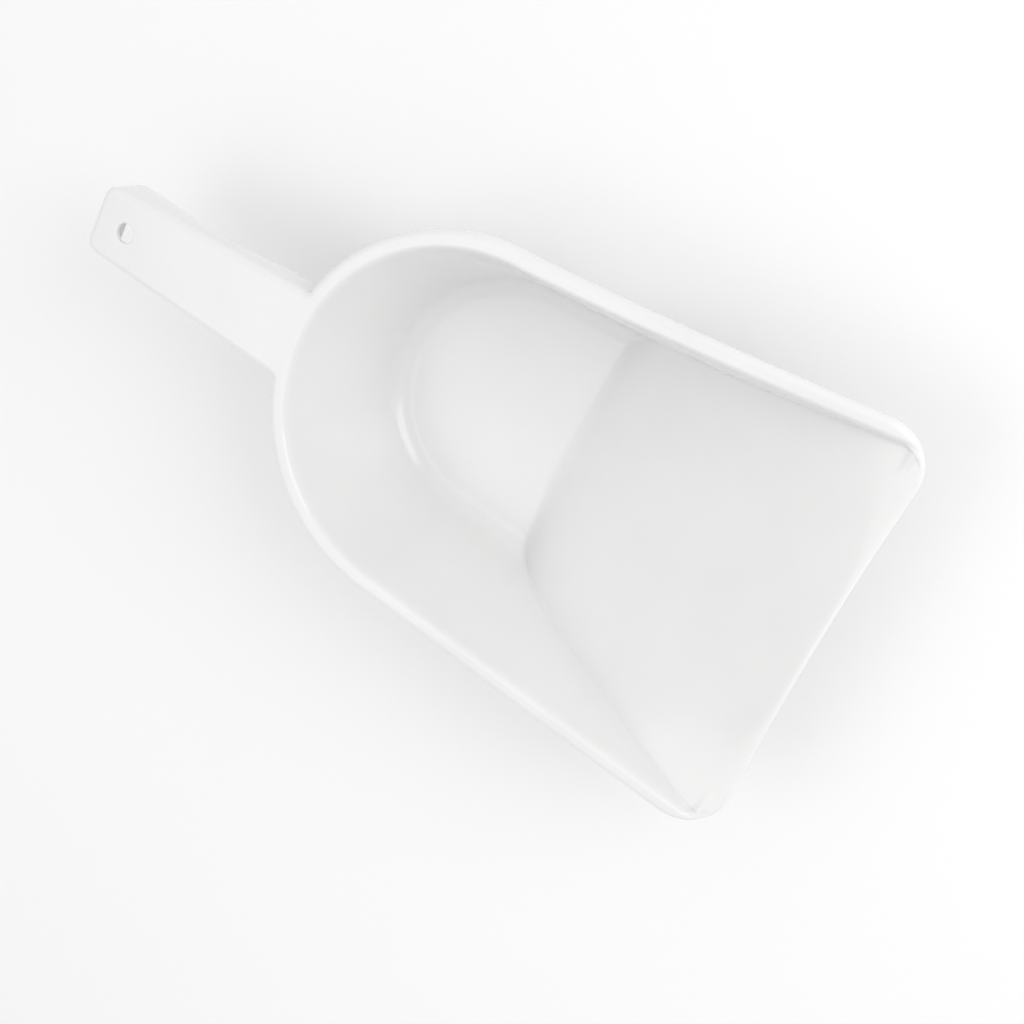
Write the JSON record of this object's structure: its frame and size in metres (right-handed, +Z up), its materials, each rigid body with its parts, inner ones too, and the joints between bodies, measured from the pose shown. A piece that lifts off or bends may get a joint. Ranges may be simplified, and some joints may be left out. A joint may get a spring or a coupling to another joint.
{
  "type": "ice scoop",
  "caption": "White moulded plastic ice scoop with a round-backed bowl, a ramp rising to a straight lip, a rolled rim and a flat-topped channel handle with a hanging hole.",
  "frame": {"origin": "centre of the bounding box in plan, on the plane the flat base rests on", "axes": "+X from the handle to the lip, +Y to the left of someone looking along +X, +Z up out of the open bowl"},
  "size_m": [0.325, 0.174, 0.0675],
  "materials": {
    "plastic": "smooth moulded white, soft gloss"
  },
  "bodies": {
    "root": {"bowl_floor": "plastic", "bowl_ramp": "plastic", "bowl_lip": "plastic", "bowl_heel_back": "plastic", "bowl_heel_left": "plastic", "bowl_heel_right": "plastic", "bowl_wall_back": "plastic", "bowl_wall_left": "plastic", "bowl_wall_right": "plastic", "rim_back": "plastic", "rim_left": "plastic", "rim_right": "plastic", "rim_corner_left": "plastic", "rim_corner_right": "plastic", "handle_top": "plastic", "handle_end": "plastic", "handle_side_left": "plastic", "handle_side_right": "plastic"}
  },
  "joints": []
}
